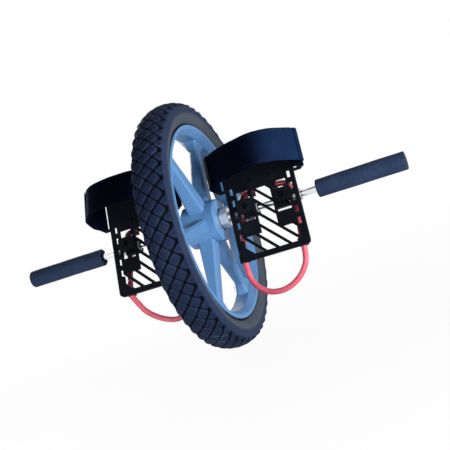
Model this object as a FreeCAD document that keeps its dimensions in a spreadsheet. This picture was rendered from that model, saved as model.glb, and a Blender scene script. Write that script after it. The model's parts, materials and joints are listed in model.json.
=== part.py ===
"""Ab wheel roller with a tyred wheel, swinging foot plates, toe straps and heel tubes.

Frame: millimetres, +X along the axle, +Z up, the foot sides of the plates towards -Y, origin at the
wheel's centre on the axle.
"""
import FreeCAD
import Part
import Sketcher
import math
import os
import re
from FreeCAD import Placement, Rotation, Vector

# Driving dimensions, in millimetres, degrees and counts.
SIZES = {
    # Shared clearances
    "overrun": 2,
    "fit_gap": 0.05,
    "soft_gap": 0.4,
    # Axle rod and grips
    "rod_radius": 5,
    "rod_bevel": 0.8,
    "bare_rod_length": 23.5,
    "grip_length": 121,
    "grip_radius": 12.5,
    "grip_rounding": 1.6,
    "sleeve_radius": 8.5,
    "sleeve_recess": 1.5,
    "plug_head": 2.5,
    "plug_spigot": 10,
    # Wheel
    "tyre_radius": 175,
    "tyre_half_width": 23.8,
    "shoulder_half_width": 21.5,
    "tread_repeats": 52,
    "tread_slant": 45,
    "tread_groove": 2.4,
    "tread_depth": 3.6,
    "rim_radius": 138.7,
    "rim_half_width": 18.7,
    "rim_lip": 3,
    "rim_lip_depth": 5,
    "rim_well_depth": 7.2,
    "rim_wall": 4.5,
    "rim_flat_half_width": 10,
    "hub_radius": 30,
    "hub_half_width": 25,
    "hub_bevel": 2,
    "hub_core_radius": 10,
    "hub_recess": 4,
    "hub_recess_radius": 15.5,
    "spoke_count": 6,
    "spoke_phase": 62,
    "spoke_root_width": 20,
    "spoke_root_depth": 25,
    "spoke_neck_width": 16,
    "spoke_neck_depth": 12.5,
    "spoke_gusset_height": 15,
    "spoke_gusset_width": 36,
    "spoke_bevel": 3,
    "spoke_sink": 2.2,
    # Wheel bearings
    "bearing_radius": 13,
    "bearing_width": 8,
    "ball_count": 7,
    "seal_width": 0.8,
    # Hub nuts, spacers and collars on the rod
    "spacer_radius": 7.5,
    "bearing_boss_radius": 7.2,
    "outer_spacer_radius": 7,
    "outer_spacer_length": 6.8,
    "nut_across_flats": 24,
    "nut_width": 12,
    "collar_radius": 8,
    "collar_width": 8.5,
    "screw_radius": 1.5,
    "screw_inset": 0.35,
    "screw_socket_radius": 0.85,
    "screw_socket_depth": 1.4,
    # Foot plates, in their own frame: X along the axle from the plate's middle, Y to the toes, Z to the foot
    "wheel_clearance": 1.7,
    "right_lean": 18,
    "left_lean": 23,
    "plate_half_width": 50,
    "plate_heel": 70,
    "plate_toe": 88,
    "plate_front": 12,
    "plate_thickness": 5,
    "plate_corner": 6,
    "ear_setback": 4,
    "ear_end": 3.5,
    "ear_slot_margin": 1,
    "ear_slot_width": 7,
    "ear_bar": 4.5,
    "ear_corner": 4,
    "housing_inner": 13,
    "housing_length": 20,
    "housing_radius": 11,
    "bush_radius": 6.6,
    "bush_flange_radius": 8,
    "bush_flange": 1.5,
    "rod_relief": 0.5,
    "pad_inner": 13,
    "pad_inset": 10.5,
    "pad_heel": 37,
    "field_inset": 7.5,
    "field_toe": 24.5,
    "slot_count": 7,
    "slot_slant": 45,
    "slot_width": 8.8,
    "slot_spacing": 12.73,
    "first_slot_reach": 59.68,
    "window_inset": 3,
    "window_width": 12,
    "heel_window_reach": 17,
    "toe_window_start": 14,
    "boss_inset": 1.5,
    "boss_width": 18,
    "boss_heel": 5,
    "boss_height": 5,
    "boss_rounding": 3,
    "boss_hole_radius": 4.5,
    "boss_hole_depth": 4,
    "edge_hole_inset": 8,
    "edge_hole_width": 5,
    "edge_hole_length": 10,
    "edge_hole_heel": 41,
    "edge_hole_span": 65,
    "edge_hole_count": 5,
    "toe_hole_radius": 2.5,
    "toe_hole_across": 14,
    "toe_hole_along": 38,
    "toe_hole_depth": 2.5,
    # Toe straps
    "strap_width": 46,
    "strap_thickness": 2.4,
    "strap_bend_radius": 1.9,
    "right_strap_rise": 68,
    "left_strap_rise": 84,
    # Heel tubes
    "tube_radius": 4,
    "tube_depth": 1.5,
    "tube_rod_gap": 2,
    "tube_outer_inset": 13,
    "tube_inner_inset": 3,
    "tube_loop_drop": 50.5,
    "tube_tail_across": 14,
    "tube_tail_along": 23,
    "eyelet_gap": 0.3,
    "eyelet_wall": 1.2,
    "eyelet_length": 11,
    "eyelet_setback": 1,
    "anchor_inner": 12.5,
    "anchor_length": 8,
}

# Route of a heel tube's free loop, outer eyelet to inner eyelet: shares of its half width from its middle
# and of its drop below the eyelets.
LOOP_SHARES = [(1, 0), (1, 0.3), (0.81, 0.63), (0.42, 0.9), (-0.06, 1), (-0.52, 0.91), (-0.86, 0.65),
               (-1, 0.32), (-1, 0)]
# Route of a tube's leg behind the plate, eyelet to cut end: shares of its run towards the toes and of its
# dip round the rod.
LEG_SHARES = [(0, 0), (0.13, 0), (0.337, 0.333), (0.62, 0.967), (0.815, 1), (0.946, 0.7), (1, 0.233),
              (1, 0), (1, 0)]
# The same points across the plate: shares of the way from the cut end out to the eyelet.
OUTER_LEG_ACROSS_SHARES = [1, 1, 1, 1.02, 1.04, 0.98, 0.69, 0.39, 0]
INNER_LEG_ACROSS_SHARES = [1, 1, 0.94, 0.83, 0.76, 0.68, 0.48, 0.27, 0]
# Share of the shorter run beside a corner that its arc takes.
ARC_RUN_SHARE = 0.45

# Heights on the tyre's section, as shares of the way from the rim's edge to the crown, and the radii of its
# arcs as shares of their chords.
TYRE_WIDEST_SHARE = 0.45
TYRE_SHOULDER_SHARE = 0.807
SIDEWALL_ARC_SHARE = 1.24
SHOULDER_ARC_SHARE = 2.27
CROWN_ARC_SHARE = 1.68
# Radius that a slanted tread groove follows over the crown, as a share of the tyre's, and how far its cutter
# stands out of the rubber, in groove depths.
TREAD_SWEEP_SHARE = 0.354
TREAD_CLEAR_SHARE = 1.5

# Inside a wheel bearing: the balls' radius, and the races' steps from the ball circle, as shares of the
# bearing's depth.
BALL_SHARE = 0.294
RACE_STEP_SHARE = 0.2
# Radius that rounds a hub nut's corners, as a share of its width across flats.
NUT_CORNER_SHARE = 0.554
# Height that a toe strap's free end reaches, as a share of the arch's rise.
STRAP_FREE_END_SHARE = 0.42

# Strap arch over the foot: corners of its half polygon, as shares of the half span and of the rise over
# the plate.
ARCH_SHARES = [(0.985, 0.16), (0.985, 0.5), (0.82, 0.87), (0.42, 1.03)]

doc = FreeCAD.newDocument("AbWheelRoller")
sheet = doc.addObject("Spreadsheet::Sheet", "Sizes")
for row, (alias, value) in enumerate(SIZES.items(), start=1):
    sheet.set(f"A{row}", alias)
    sheet.set(f"B{row}", str(value))
    sheet.setAlias(f"B{row}", alias)
doc.recompute()

nodes = []


def bound(text):
    """The expression with each size's name pointed at its cell."""
    return re.sub(r"[a-z][a-z_]+", lambda word: f"Sizes.{word[0]}" if word[0] in SIZES else word[0], text)


def size(text):
    """The present value of an expression in the sheet's sizes."""
    return float(sheet.evalExpression(text))


def bind(feature, **expressions):
    """Ties properties of a feature to expressions in the sizes; a double underscore stands for a dot."""
    for name, text in expressions.items():
        feature.setExpression(name.replace("__", "."), bound(text))


def node(feature, label):
    """Marks a document object as a finished piece under its file's name."""
    feature.Label = label
    nodes.append(feature)
    return feature


def origin_feature(body, role):
    """A body's own origin plane or axis."""
    return next(item for item in body.Origin.OriginFeatures if item.Role == role)


def new_sketch(body, plane, lift="0"):
    """An empty sketch on one of the body's origin planes, lifted along the plane's normal."""
    sketch = body.newObject("Sketcher::SketchObject", "Outline")
    sketch.AttachmentSupport = (origin_feature(body, plane), [""])
    sketch.MapMode = "FlatFace"
    bind(sketch, AttachmentOffset__Base__z=lift)
    return sketch


def pin_point(sketch, geometry, position, across, along):
    """Ties one point of a sketch to its two distances from the sketch's origin."""
    for kind, text in (("DistanceX", across), ("DistanceY", along)):
        index = sketch.addConstraint(Sketcher.Constraint(kind, -1, 1, geometry, position, size(text)))
        sketch.setExpression(f"Constraints[{index}]", bound(text))


def draw_outline(sketch, corners):
    """Closed outline, anticlockwise, through corners (across, along).

    A corner that an arc leaves has the arc's radius as well, and "hollow" if the arc curves inwards.
    """
    places = [Vector(size(corner[0]), size(corner[1]), 0) for corner in corners]
    sides = []
    for number, corner in enumerate(corners):
        start = places[number]
        end = places[(number + 1) % len(places)]
        if len(corner) == 2:
            sides.append(sketch.addGeometry(Part.LineSegment(start, end), False))
            continue
        radius = size(corner[2])
        chord = end - start
        rise = math.sqrt(radius ** 2 - (chord.Length / 2) ** 2)
        hollow = len(corner) == 4
        if hollow:
            rise = -rise
        middle = (start + end) / 2 + Vector(-chord.y, chord.x, 0) / chord.Length * rise
        first = math.atan2(start.y - middle.y, start.x - middle.x)
        last = math.atan2(end.y - middle.y, end.x - middle.x)
        if hollow:
            first, last = last, first
        circle = Part.Circle(middle, Vector(0, 0, 1), radius)
        side = sketch.addGeometry(Part.ArcOfCircle(circle, first, last), False)
        index = sketch.addConstraint(Sketcher.Constraint("Radius", side, radius))
        sketch.setExpression(f"Constraints[{index}]", bound(corner[2]))
        sides.append(side)
    mouths = [(2, 1) if len(corner) == 4 else (1, 2) for corner in corners]
    for number, side in enumerate(sides):
        following = (number + 1) % len(sides)
        sketch.addConstraint(Sketcher.Constraint(
            "Coincident", side, mouths[number][1], sides[following], mouths[following][0]))
        pin_point(sketch, side, mouths[number][0], *corners[number][:2])


def draw_circle(sketch, across, along, radius):
    """Circle with its middle and radius tied to the sheet."""
    circle = Part.Circle(Vector(size(across), size(along), 0), Vector(0, 0, 1), size(radius))
    index = sketch.addGeometry(circle, False)
    pin_point(sketch, index, 3, across, along)
    tie = sketch.addConstraint(Sketcher.Constraint("Radius", index, size(radius)))
    sketch.setExpression(f"Constraints[{tie}]", bound(radius))


def rectangle(left, heel, right, toe):
    """Corners of an upright rectangle, anticlockwise."""
    return [(left, heel), (right, heel), (right, toe), (left, toe)]


def rounded_rectangle(left, heel, right, toe, radius):
    """Corners of an upright rectangle with round corners, anticlockwise."""
    return [(f"{left} + {radius}", heel), (f"{right} - {radius}", heel, radius),
            (right, f"{heel} + {radius}"), (right, f"{toe} - {radius}", radius),
            (f"{right} - {radius}", toe), (f"{left} + {radius}", toe, radius),
            (left, f"{toe} - {radius}"), (left, f"{heel} + {radius}", radius)]


def new_body(label=None):
    """An empty body, entered as a finished piece if it has a label."""
    body = doc.addObject("PartDesign::Body", "Piece")
    if label:
        node(body, label)
    return body


def add_revolution(body, corners):
    """Revolves an outline of (place along the axle, radius) corners about the axle."""
    sketch = new_sketch(body, "XY_Plane")
    draw_outline(sketch, corners)
    revolution = body.newObject("PartDesign::Revolution", "Turned")
    revolution.Profile = sketch
    revolution.ReferenceAxis = (sketch, ["H_Axis"])
    revolution.Angle = 360
    return revolution


def add_pad(body, plane, lift, length, *outlines):
    """Raises outlines on a lifted plane by a length along its normal."""
    sketch = new_sketch(body, plane, lift)
    for corners in outlines:
        draw_outline(sketch, corners)
    pad = body.newObject("PartDesign::Pad", "Raised")
    pad.Profile = sketch
    bind(pad, Length=length)
    return pad


def add_pocket(body, plane, lift, length, outlines=(), circles=()):
    """Cuts outlines and circles from a lifted plane by a length against its normal."""
    doc.recompute()
    before = body.Shape.Volume
    sketch = new_sketch(body, plane, lift)
    for corners in outlines:
        draw_outline(sketch, corners)
    for circle in circles:
        draw_circle(sketch, *circle)
    pocket = body.newObject("PartDesign::Pocket", "Cut")
    pocket.Profile = sketch
    bind(pocket, Length=length)
    doc.recompute()
    if body.Shape.Volume >= before:
        raise ValueError(f"{body.Label}: a pocket cuts nothing")
    return pocket


def turned(label, corners):
    """A piece turned about the axle."""
    body = new_body(label)
    add_revolution(body, corners)
    return body


def tube_corners(start, end, inner, outer):
    """Corners of a plain tube's half section."""
    return [(start, inner), (end, inner), (end, outer), (start, outer)]


def at_side(side, text):
    """An expression's value on the right, or its opposite on the left."""
    return text if side == "right" else f"-({text})"


def mirrored(side, corners):
    """Corners of a section given for the right side, on the side wanted and still anticlockwise."""
    if side == "right":
        return corners
    flipped = []
    for number in reversed(range(len(corners))):
        across, along = corners[number][:2]
        arc = corners[number - 1][2:]
        flipped.append((at_side(side, across), along) + tuple(arc))
    return flipped


# Places along the axle, from the wheel's middle outwards
RIM_WELL = "(rim_radius - rim_well_depth)"
ROD_BORE = "(rod_radius + fit_gap)"
BEARING_OUT = "(hub_half_width - hub_recess)"
BEARING_IN = f"({BEARING_OUT} - bearing_width)"
NUT_OUT = "(hub_half_width + nut_width)"
EAR_REACH = "(plate_half_width + ear_slot_margin + ear_slot_width + ear_bar)"
PLATE_OFFSET = f"(hub_half_width + wheel_clearance + strap_thickness + soft_gap + {EAR_REACH})"
HOUSING_FACE = "(housing_inner + housing_length)"
BUSH_FACE = f"({HOUSING_FACE} + fit_gap + bush_flange)"
COLLAR_IN = f"({PLATE_OFFSET} + {BUSH_FACE} + outer_spacer_length + 2 * fit_gap)"
COLLAR_OUT = f"({COLLAR_IN} + collar_width)"
GRIP_START = f"({PLATE_OFFSET} + plate_half_width + bare_rod_length)"
GRIP_END = f"({GRIP_START} + grip_length)"
ROD_END = f"({GRIP_END} - plug_head - plug_spigot)"

# Places on the foot plates, in their own frame
PLATE_BACK = "(plate_front - plate_thickness)"
PAD_OUTER = "(plate_half_width - pad_inset)"
EAR_HIGH = "(plate_toe - ear_setback)"
EAR_LOW = f"({EAR_HIGH} - strap_width - 2 * ear_end)"
TUBE_BORE = "(tube_radius + eyelet_gap)"
TUBE_OUTER_EXIT = "(plate_half_width - tube_outer_inset)"
TUBE_INNER_EXIT = "(plate_half_width - tube_inner_inset)"
TUBE_EXIT_HEEL = "(plate_heel - eyelet_setback)"
EYELET_WIDTH = f"(2 * {TUBE_BORE} + 2 * eyelet_wall)"


def build_rod():
    """Axle rod with bevelled ends."""
    turned("axle_rod", [
        (f"-{ROD_END}", "0"), (ROD_END, "0"), (ROD_END, "rod_radius - rod_bevel"),
        (f"{ROD_END} - rod_bevel", "rod_radius"), (f"-{ROD_END} + rod_bevel", "rod_radius"),
        (f"-{ROD_END}", "rod_radius - rod_bevel")])


def build_grip(side):
    """Foam grip on its sleeve, with the plug that closes the sleeve's outer end."""
    foam_bore = "(sleeve_radius + fit_gap)"
    foam_outer = "(grip_radius - grip_rounding)"
    turned(f"{side}_grip_foam", mirrored(side, [
        (GRIP_START, foam_bore), (GRIP_END, foam_bore), (GRIP_END, foam_outer),
        (f"{GRIP_END} - grip_rounding", "grip_radius"), (f"{GRIP_START} + grip_rounding", "grip_radius"),
        (GRIP_START, foam_outer)]))
    sleeve_end = f"({GRIP_END} - plug_head)"
    turned(f"{side}_grip_sleeve", mirrored(side, tube_corners(
        f"{GRIP_START} + sleeve_recess", sleeve_end, ROD_BORE, "sleeve_radius")))
    turned(f"{side}_grip_end_plug", mirrored(side, [
        (ROD_END, "0"), (GRIP_END, "0"), (GRIP_END, "sleeve_radius"), (sleeve_end, "sleeve_radius"),
        (sleeve_end, "rod_radius"), (ROD_END, "rod_radius")]))


def build_hub_nut(side):
    """Hexagonal nut whose boss bears on the bearing's inner race."""
    prism = doc.addObject("Part::Prism", "Hexagon")
    bind(prism, Circumradius="nut_across_flats / sqrt(3)", Height="nut_width")
    rounder = doc.addObject("Part::Cylinder", "Corners")
    bind(rounder, Radius=f"{NUT_CORNER_SHARE} * nut_across_flats", Height="nut_width")
    head = doc.addObject("Part::Common", "Head")
    head.Base = prism
    head.Tool = rounder
    boss = doc.addObject("Part::Cylinder", "Boss")
    bind(boss, Radius="bearing_boss_radius", Height="hub_recess - fit_gap",
         Placement__Base__z="fit_gap - hub_recess")
    solid = doc.addObject("Part::Fuse", "Solid")
    solid.Base = head
    solid.Tool = boss
    bore = doc.addObject("Part::Cylinder", "Bore")
    bind(bore, Radius=ROD_BORE, Height="nut_width + hub_recess + 2 * overrun",
         Placement__Base__z="-hub_recess - overrun")
    nut = doc.addObject("Part::Cut", "Nut")
    nut.Base = solid
    nut.Tool = bore
    turn = 90 if side == "right" else -90
    nut.Placement = Placement(Vector(0, 0, 0), Rotation(Vector(0, 1, 0), turn))
    bind(nut, Placement__Base__x=at_side(side, "hub_half_width + fit_gap"))
    node(nut, f"{side}_hub_nut")


def build_collar(side):
    """Clamp collar that keeps the foot plate on the rod, bored for its grub screw."""
    tube = turned(None, mirrored(side, tube_corners(COLLAR_IN, COLLAR_OUT, ROD_BORE, "collar_radius")))
    middle = at_side(side, f"{COLLAR_OUT} - collar_width / 2")
    hole = doc.addObject("Part::Cylinder", "ScrewHole")
    bind(hole, Radius="screw_radius + fit_gap", Height="collar_radius + overrun", Placement__Base__x=middle)
    collar = doc.addObject("Part::Cut", "Collar")
    collar.Base = tube
    collar.Tool = hole
    node(collar, f"{side}_clamp_collar")
    screw = doc.addObject("Part::Cylinder", "Screw")
    length = f"(collar_radius - {ROD_BORE} - screw_inset)"
    bind(screw, Radius="screw_radius", Height=length, Placement__Base__x=middle, Placement__Base__z=ROD_BORE)
    socket = doc.addObject("Part::Prism", "Socket")
    bind(socket, Circumradius="screw_socket_radius", Height="screw_socket_depth + overrun",
         Placement__Base__x=middle,
         Placement__Base__z=f"{ROD_BORE} + {length} - screw_socket_depth")
    grub = doc.addObject("Part::Cut", "GrubScrew")
    grub.Base = screw
    grub.Tool = socket
    return grub


def build_rod_fittings(side):
    """What sits on the rod between the hub and a grip: nut, spacers and collar."""
    build_hub_nut(side)
    turned(f"{side}_pedal_spacer", mirrored(side, tube_corners(
        f"{NUT_OUT} + 2 * fit_gap", f"{PLATE_OFFSET} - {BUSH_FACE} - fit_gap", ROD_BORE, "spacer_radius")))
    turned(f"{side}_outer_spacer", mirrored(side, tube_corners(
        f"{COLLAR_IN} - fit_gap - outer_spacer_length", f"{COLLAR_IN} - fit_gap", ROD_BORE,
        "outer_spacer_radius")))
    return build_collar(side)


def build_bearing(side):
    """Sealed ball bearing: grooved races, balls on their pitch circle and the outer seal."""
    circle = "((rod_radius + bearing_radius) / 2)"
    depth = "(bearing_radius - rod_radius)"
    ball = f"({BALL_SHARE} * {depth})"
    groove = f"({ball} + fit_gap)"
    inner_step = f"({circle} - {RACE_STEP_SHARE} * {depth})"
    outer_step = f"({circle} + {RACE_STEP_SHARE} * {depth})"
    middle = f"({BEARING_OUT} - bearing_width / 2)"
    half = f"sqrt({groove}^2 - ({RACE_STEP_SHARE} * {depth})^2)"
    inner = [(BEARING_IN, ROD_BORE), (BEARING_OUT, ROD_BORE), (BEARING_OUT, inner_step),
             (f"{middle} + {half}", inner_step, groove, "hollow"),
             (f"{middle} - {half}", inner_step), (BEARING_IN, inner_step)]
    outer = [(BEARING_IN, "bearing_radius"), (BEARING_IN, outer_step),
             (f"{middle} - {half}", outer_step, groove, "hollow"),
             (f"{middle} + {half}", outer_step), (BEARING_OUT, outer_step),
             (BEARING_OUT, "bearing_radius")]
    turned(f"{side}_bearing_inner_race", mirrored(side, inner))
    turned(f"{side}_bearing_outer_race", mirrored(side, outer))
    turned(f"{side}_bearing_seal", mirrored(side, tube_corners(
        f"{BEARING_OUT} - seal_width", BEARING_OUT, f"{inner_step} + 2 * fit_gap",
        f"{outer_step} - fit_gap")))
    balls = []
    for number in range(round(size("ball_count"))):
        sphere = doc.addObject("Part::Sphere", "Ball")
        bind(sphere, Radius=ball, Placement__Base__x=at_side(side, middle),
             Placement__Base__y=f"{circle} * cos(360 * {number} / ball_count)",
             Placement__Base__z=f"{circle} * sin(360 * {number} / ball_count)")
        balls.append(sphere)
    ring = doc.addObject("Part::Compound", "Balls")
    ring.Links = balls
    node(ring, f"{side}_bearing_balls")


def build_wheel():
    """Rim, spokes and hub barrel in one moulding, with a bearing seat in each end of the hub."""
    wheel = new_body("mag_wheel")
    seat = "(bearing_radius + fit_gap)"
    half_hub = [(BEARING_IN, "hub_core_radius"), (BEARING_IN, seat), (BEARING_OUT, seat),
                (BEARING_OUT, "hub_recess_radius"), ("hub_half_width", "hub_recess_radius"),
                ("hub_half_width", "hub_radius - hub_bevel"), ("hub_half_width - hub_bevel", "hub_radius")]
    add_revolution(wheel, half_hub + [(f"-({across})", radius) for across, radius in half_hub[::-1]])
    spoke = add_spoke(wheel)
    doc.recompute()
    pattern = wheel.newObject("PartDesign::PolarPattern", "Spokes")
    pattern.Originals = [spoke]
    pattern.Axis = (origin_feature(wheel, "X_Axis"), [""])
    pattern.Angle = 360
    bind(pattern, Occurrences="spoke_count")
    wheel.Tip = pattern
    doc.recompute()
    half_rim = [("rim_flat_half_width", f"{RIM_WELL} - rim_wall"),
                ("rim_half_width", "rim_radius - rim_lip_depth"),
                ("rim_half_width", "rim_radius"), ("rim_half_width - rim_lip", "rim_radius"),
                ("rim_half_width - rim_lip", RIM_WELL)]
    rim = add_revolution(wheel, half_rim + [(f"-({across})", radius) for across, radius in half_rim[::-1]])
    wheel.Tip = rim
    wheel.Placement = Placement(Vector(0, 0, 0), Rotation(Vector(1, 0, 0), 0))
    bind(wheel, Placement__Rotation__Angle="spoke_phase - 90")


def add_spoke(wheel):
    """One tapered, bevelled spoke up the wheel's Z axis, from inside the hub to its gusset in the rim."""
    tip = f"({RIM_WELL} - rim_wall + spoke_sink)"
    stations = [("spoke_root_width", "spoke_root_depth", "hub_radius - 2 * spoke_sink"),
                ("spoke_neck_width", "spoke_neck_depth", f"{tip} - spoke_gusset_height"),
                ("spoke_gusset_width", "2 * rim_flat_half_width", tip)]
    sections = []
    for width, depth, lift in stations:
        across = f"({depth} / 2)"
        along = f"({width} / 2)"
        sketch = new_sketch(wheel, "XY_Plane", lift)
        draw_outline(sketch, [
            (f"-{across} + spoke_bevel", f"-{along}"), (f"{across} - spoke_bevel", f"-{along}"),
            (across, f"-{along} + spoke_bevel"), (across, f"{along} - spoke_bevel"),
            (f"{across} - spoke_bevel", along), (f"-{across} + spoke_bevel", along),
            (f"-{across}", f"{along} - spoke_bevel"), (f"-{across}", f"-{along} + spoke_bevel")])
        sections.append(sketch)
    spoke = wheel.newObject("PartDesign::AdditiveLoft", "Spoke")
    spoke.Profile = sections[0]
    spoke.Sections = sections[1:]
    spoke.Ruled = True
    return spoke


def build_tyre():
    """Tyre with its bead in the rim's well, round sidewalls and a crowned tread."""
    bead = "(rim_half_width - rim_lip - soft_gap)"
    bead_foot = f"({RIM_WELL} + soft_gap)"
    bead_top = "(rim_radius + 2 * soft_gap)"
    section = "(tyre_radius - rim_radius)"
    widest = ("tyre_half_width", f"(rim_radius + {TYRE_WIDEST_SHARE} * {section})")
    shoulder = ("shoulder_half_width", f"(rim_radius + {TYRE_SHOULDER_SHARE} * {section})")
    crown = ("0", "tyre_radius")
    sidewall_arc = chord_share(SIDEWALL_ARC_SHARE, (bead, bead_top), widest)
    shoulder_arc = chord_share(SHOULDER_ARC_SHARE, widest, shoulder)
    crown_arc = chord_share(CROWN_ARC_SHARE, shoulder, crown)
    tyre = turned("tyre", [
        (f"-{bead}", bead_foot), (bead, bead_foot), (bead, bead_top, sidewall_arc), widest + (shoulder_arc,),
        shoulder + (crown_arc,), crown + (crown_arc,), (f"-{shoulder[0]}", shoulder[1], shoulder_arc),
        (f"-{widest[0]}", widest[1], sidewall_arc), (f"-{bead}", bead_top)])
    for slant in ("tread_slant", "-tread_slant"):
        cut_tread(tyre, slant)


def cut_tread(tyre, slant):
    """One set of slanted grooves round the tread.

    A groove is a rectangle turned about an axis that lies across the tyre at the slant. Its sweep follows
    the crown's curve along the slant, so the groove keeps its depth until it runs out over the shoulders.
    """
    doc.recompute()
    before = tyre.Shape.Volume
    sweep = f"({TREAD_SWEEP_SHARE} * tyre_radius)"
    sketch = new_sketch(tyre, "XY_Plane")
    sketch.AttachmentOffset = Placement(Vector(0, 0, 0), Rotation(Vector(0, 1, 0), 0))
    bind(sketch, AttachmentOffset__Base__y=f"tyre_radius - {sweep}", AttachmentOffset__Rotation__Angle=slant)
    foot, top = f"({sweep} - tread_depth)", f"({sweep} + {TREAD_CLEAR_SHARE} * tread_depth)"
    draw_outline(sketch, [("-tread_groove / 2", foot), ("tread_groove / 2", foot), ("tread_groove / 2", top),
                          ("-tread_groove / 2", top)])
    groove = tyre.newObject("PartDesign::Groove", "TreadGroove")
    groove.Profile = sketch
    groove.ReferenceAxis = (sketch, ["H_Axis"])
    groove.Midplane = True
    groove.Angle = 90
    pattern = tyre.newObject("PartDesign::PolarPattern", "TreadGrooves")
    pattern.Originals = [groove]
    pattern.Axis = (origin_feature(tyre, "X_Axis"), [""])
    pattern.Angle = 360
    bind(pattern, Occurrences="tread_repeats")
    tyre.Tip = pattern
    doc.recompute()
    if tyre.Shape.Volume >= before:
        raise ValueError("a set of tread grooves cuts nothing")


def chord_share(share, start, end):
    """An arc's radius as a share of the chord between two corners."""
    return f"({share} * sqrt(({end[0]} - {start[0]})^2 + ({end[1]} - {start[1]})^2))"


def swing(side, feature):
    """Hangs a piece made in a foot plate's frame on the rod at the plate's lean."""
    feature.Placement = Placement(Vector(0, 0, 0), Rotation(Vector(1, 0, 0), 0))
    bind(feature, Placement__Base__x=at_side(side, PLATE_OFFSET),
         Placement__Rotation__Angle=f"90 - {side}_lean")
    return feature


def plate_moulding(side):
    """Foot plate with strap ears, housings for the rod, bosses, windows and holes, but no slanted slots."""
    body = new_body()
    add_pad(body, "XY_Plane", PLATE_BACK, "plate_thickness", rounded_rectangle(
        "-plate_half_width", "-plate_heel", "plate_half_width", "plate_toe", "plate_corner"))
    add_pad(body, "XY_Plane", PLATE_BACK, "plate_thickness", rounded_rectangle(
        f"-{EAR_REACH}", EAR_LOW, EAR_REACH, EAR_HIGH, "ear_corner"))
    root = f"({PLATE_BACK} + plate_thickness / 2)"
    for start in ("housing_inner", f"-{HOUSING_FACE}"):
        add_pad(body, "YZ_Plane", start, "housing_length", [
            ("housing_radius", root), ("-housing_radius", root), ("-housing_radius", "0", "housing_radius"),
            ("0", "-housing_radius", "housing_radius"), ("housing_radius", "0")])
    boss_left = "(pad_inner + boss_inset)"
    boss_right = f"({PAD_OUTER} - boss_inset)"
    for left, right in ((boss_left, boss_right), (f"-{boss_right}", f"-{boss_left}")):
        add_pad(body, "XY_Plane", "plate_front", "boss_height", rounded_rectangle(
            left, "-boss_heel", right, "(boss_width - boss_heel)", "boss_rounding"))
    eyelets = (at_side(side, TUBE_OUTER_EXIT), at_side(side, f"-{TUBE_INNER_EXIT}"))
    for across in eyelets:
        add_tube_block(body, f"{across} - {EYELET_WIDTH} / 2", f"-{TUBE_EXIT_HEEL}", EYELET_WIDTH,
                       "eyelet_length")
    for across in ("anchor_inner", "-anchor_inner - anchor_length"):
        add_tube_block(body, across, f"tube_tail_along - {EYELET_WIDTH} / 2", "anchor_length", EYELET_WIDTH)
    add_pocket(body, "YZ_Plane", f"{HOUSING_FACE} + overrun", f"2 * {HOUSING_FACE} + 2 * overrun",
               circles=[("0", "0", "bush_radius + fit_gap")])
    relief = "(max(bush_flange_radius; collar_radius) + rod_relief)"
    for lift in (f"{HOUSING_FACE} + plate_half_width", f"-{HOUSING_FACE}"):
        add_pocket(body, "YZ_Plane", lift, "plate_half_width", circles=[("0", "0", relief)])
    boss_middle = "((pad_inner + plate_half_width - pad_inset) / 2)"
    add_pocket(body, "XY_Plane", "plate_front + boss_height", "boss_hole_depth",
               circles=[(across, "boss_width / 2 - boss_heel", "boss_hole_radius")
                        for across in (boss_middle, f"-{boss_middle}")])
    for outlines in plate_openings():
        add_pocket(body, "XY_Plane", "plate_front", "plate_thickness", outlines)
    add_pocket(body, "XY_Plane", "plate_front", "toe_hole_depth",
               circles=[(across, "toe_hole_along", "toe_hole_radius")
                        for across in ("toe_hole_across", "-toe_hole_across")])
    for across in eyelets:
        add_pocket(body, "XZ_Plane", "plate_heel + overrun", "eyelet_length + 2 * overrun",
                   circles=[(across, "tube_depth", TUBE_BORE)])
    anchor_reach = "(anchor_inner + anchor_length + overrun)"
    add_pocket(body, "YZ_Plane", anchor_reach, f"2 * {anchor_reach}",
               circles=[("tube_tail_along", "tube_depth", TUBE_BORE)])
    return body


def plate_openings():
    """Outlines cut through a foot plate: windows, strap slots and edge holes."""
    left = "(pad_inner + window_inset)"
    right = f"({PAD_OUTER} - window_inset)"
    windows = [rectangle(near, heel, far, f"{heel} + window_width")
               for near, far in ((left, right), (f"-{right}", f"-{left}"))
               for heel in ("-heel_window_reach", "toe_window_start")]
    slot_near = "(plate_half_width + ear_slot_margin)"
    slot_far = f"({slot_near} + ear_slot_width)"
    slot_heel = f"{EAR_LOW} + ear_end - soft_gap"
    slot_toe = f"{EAR_HIGH} - ear_end + soft_gap"
    ear_slots = [rectangle(near, slot_heel, far, slot_toe)
                 for near, far in ((slot_near, slot_far), (f"-{slot_far}", f"-{slot_near}"))]
    row_middle = "(plate_half_width - edge_hole_inset)"
    step = "(edge_hole_span / (edge_hole_count - 1))"
    edge_holes = []
    for middle in (row_middle, f"-{row_middle}"):
        for number in range(round(size("edge_hole_count"))):
            heel = f"({number} * {step} - edge_hole_heel)"
            edge_holes.append(rectangle(f"{middle} - edge_hole_width / 2", heel,
                                        f"{middle} + edge_hole_width / 2", f"{heel} + edge_hole_length"))
    return [windows, ear_slots, edge_holes]


def add_tube_block(body, left, heel, length, width):
    """Moulded block behind the plate that holds a heel tube."""
    foot = f"(tube_depth - {TUBE_BORE} - eyelet_wall)"
    add_pad(body, "XY_Plane", foot, f"{PLATE_BACK} - {foot}", rectangle(
        left, heel, f"{left} + {length}", f"{heel} + {width}"))


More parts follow.
